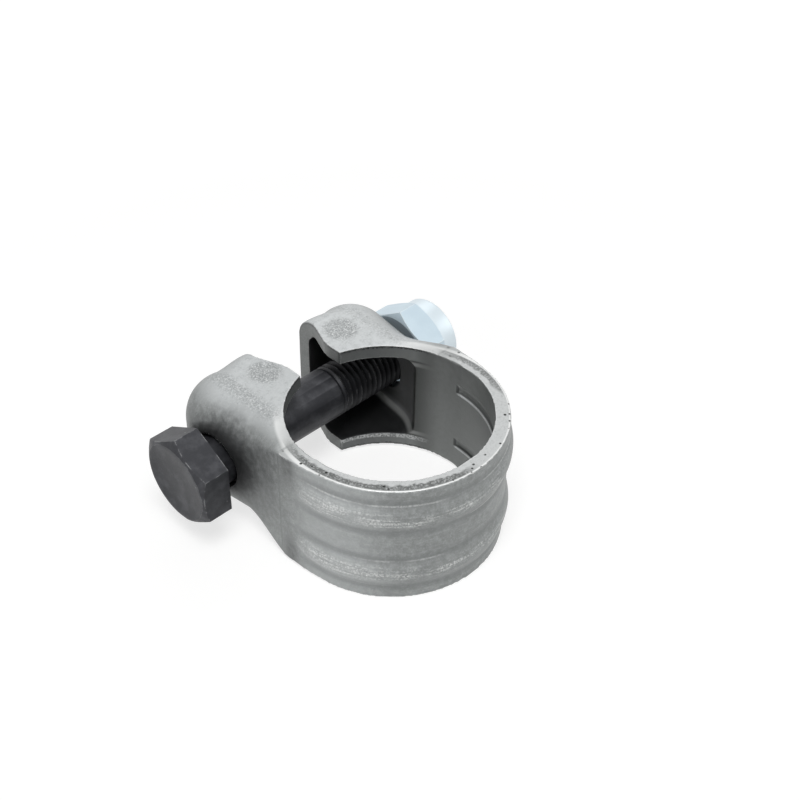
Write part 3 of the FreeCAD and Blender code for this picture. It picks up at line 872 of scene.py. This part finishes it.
def makeLockNut(material):
    s = lockNut
    near = nutLow.x
    far = nutHigh.x
    crimp = s["crimpThickness"]
    collar = s["collarRadius"]
    slope = math.tan(math.radians(s["chamferAngle"]))
    side = lambda t: hexSide(s["acrossFlats"], t)
    seat = far - crimp - s["nylonHeight"]
    rings = [
        (seat, s["boreRadius"]),
        (near + s["boreChamfer"], s["boreRadius"]),
        (near, s["boreRadius"] + s["boreChamfer"]),
        (near, s["faceRadius"]),
        (lambda t: near + (side(t) - s["faceRadius"]) * slope, side),
        (lambda t: near + s["hexHeight"] - (side(t) - collar) * slope, side),
        (near + s["hexHeight"], collar),
    ]
    for angle in s["crimpAngles"]:
        a = math.radians(angle)
        rings.append((far - crimp + crimp * math.cos(a), collar - crimp + crimp * math.sin(a)))
    rings += [
        (far, s["crimpRadius"] + s["crimpBreak"]),
        (far - s["crimpBreak"], s["crimpRadius"]),
        (far - crimp, s["crimpRadius"]),
        (far - crimp, collar - s["wall"]),
        (seat, collar - s["wall"]),
        (seat, s["boreRadius"]),
    ]
    bm = bmesh.new()
    ringSkin(bm, rings, hexTurns)
    bmesh.ops.remove_doubles(bm, verts=bm.verts, dist=weldDistance)
    newPiece("lockNut", bm, material, "nut", "lock_nut")


def dressInsert(material):
    piece = nodes["nylon_insert"]
    piece.data.materials.clear()
    piece.data.materials.append(material)


dressBand(tumbledSteel())
print("band dressed")
makeBolt(blackOxide())
print("bolt made")
makeLockNut(clearZinc())
dressInsert(naturalNylon())
print("nut and nylon ring made")

studio = {
    "floorSize": 1.6,
    "floorColor": "#f2f2f1",
    "floorGlow": 1.25,
    "floorGap": 0.05 * mm,
    # glow near the clamp and far from it, so that the shadow stays and the edge is white
    "glowSpan": span(0.15, 0.5, 0.55, 1.0),
    "worldStrength": 0.2,
    # name, place, size and power
    "lamps": [
        ("keyLamp", (-0.2, -0.22, 0.88), 0.45, 5.0),
        ("frontLamp", (-0.9, -0.1, 0.35), 0.6, 1.6),
        ("backLamp", (0.5, 0.6, 0.6), 0.7, 1.0),
        ("sideLamp", (0.8, -0.35, 0.35), 0.5, 1.0),
    ],
}


# 1 for rays that the camera, a mirror or clear glass sends, 0 for light on its way to the clamp
def seenRays(tree):
    rays = add(tree, "LightPath").outputs
    seen = add(tree, "Math", {0: rays["Is Camera Ray"], 1: rays["Is Glossy Ray"]},
               operation="MAXIMUM").outputs[0]
    return add(tree, "Math", {0: seen, 1: rays["Is Transmission Ray"]},
               operation="MAXIMUM").outputs[0]


# pale floor that the camera and mirrors see as plain white, and that keeps the clamp's shadow
def makeFloor():
    s = studio
    half = s["floorSize"] / 2
    level = cadBox[0][2] - s["floorGap"]
    mesh = bpy.data.meshes.new("floor")
    signs = ((-1, -1), (1, -1), (1, 1), (-1, 1))
    corners = [(half * x, half * y, level) for x, y in signs]
    mesh.from_pydata(corners, [], [(0, 1, 2, 3)])
    floor = bpy.data.objects.new("floor", mesh)
    bpy.context.scene.collection.objects.link(floor)
    material = bpy.data.materials.new("paleFloor")
    material.use_nodes = True
    tree = material.node_tree
    tree.nodes.clear()
    diffuse = add(tree, "BsdfDiffuse", {"Color": srgb(s["floorColor"])})
    glow = add(tree, "Emission", {"Color": (1, 1, 1, 1), "Strength": s["floorGlow"]})
    place = add(tree, "TexCoord").outputs["Object"]
    away = add(tree, "VectorMath", {0: place}, operation="LENGTH").outputs["Value"]
    share = add(tree, "MapRange", {0: away, **s["glowSpan"]}).outputs[0]
    share = add(tree, "Math", {0: seenRays(tree), 1: share}, operation="MULTIPLY").outputs[0]
    mix = add(tree, "MixShader", {0: share, 1: diffuse.outputs[0], 2: glow.outputs[0]})
    add(tree, "OutputMaterial", {"Surface": mix.outputs[0]})
    mesh.materials.append(material)


def makeWorld():
    world = bpy.data.worlds.new("studio")
    bpy.context.scene.world = world
    world.use_nodes = True
    tree = world.node_tree
    tree.nodes.clear()
    dimmed = {3: studio["worldStrength"], 4: 1.0}
    strength = add(tree, "MapRange", {0: seenRays(tree), **dimmed}).outputs[0]
    background = add(tree, "Background", {"Color": (1, 1, 1, 1), "Strength": strength})
    add(tree, "OutputWorld", {"Surface": background.outputs[0]})


def makeLamps():
    middle = (Vector(cadBox[0]) + Vector(cadBox[1])) / 2
    for name, place, size, power in studio["lamps"]:
        data = bpy.data.lights.new(name, "AREA")
        data.shape = "SQUARE"
        data.size = size
        data.energy = power
        lamp = bpy.data.objects.new(name, data)
        bpy.context.scene.collection.objects.link(lamp)
        lamp.location = place
        lamp.rotation_euler = (middle - Vector(place)).to_track_quat("-Z", "Y").to_euler()


camera = {
    "place": (-139.7 * mm, -139.7 * mm, 182.5 * mm),
    "target": (0.0, 0.0, 15.0 * mm),
    "roll": 0.79,
    "focalPixels": 1262.8,
    "imageSize": 800,
    "centreX": 392.7,
    "centreY": 409.9,
    "sensor": 36.0,
    "near": 0.01,
    "far": 20,
}


def makeCamera():
    s = camera
    data = bpy.data.cameras.new("camera")
    data.sensor_width = s["sensor"]
    data.lens = s["sensor"] * s["focalPixels"] / s["imageSize"]
    data.shift_x = (s["imageSize"] / 2 - s["centreX"]) / s["imageSize"]
    data.shift_y = (s["centreY"] - s["imageSize"] / 2) / s["imageSize"]
    data.clip_start = s["near"]
    data.clip_end = s["far"]
    item = bpy.data.objects.new("camera", data)
    bpy.context.scene.collection.objects.link(item)
    sight = Vector(s["target"]) - Vector(s["place"])
    toward = sight.to_track_quat("-Z", "Y").to_matrix().to_4x4()
    roll = Matrix.Rotation(math.radians(s["roll"]), 4, "Z")
    item.matrix_world = Matrix.Translation(s["place"]) @ toward @ roll
    bpy.context.scene.camera = item


makeFloor()
makeWorld()
makeLamps()
makeCamera()
bpy.context.scene.view_settings.view_transform = "Standard"
print("studio and camera set")

bpy.context.view_layer.update()
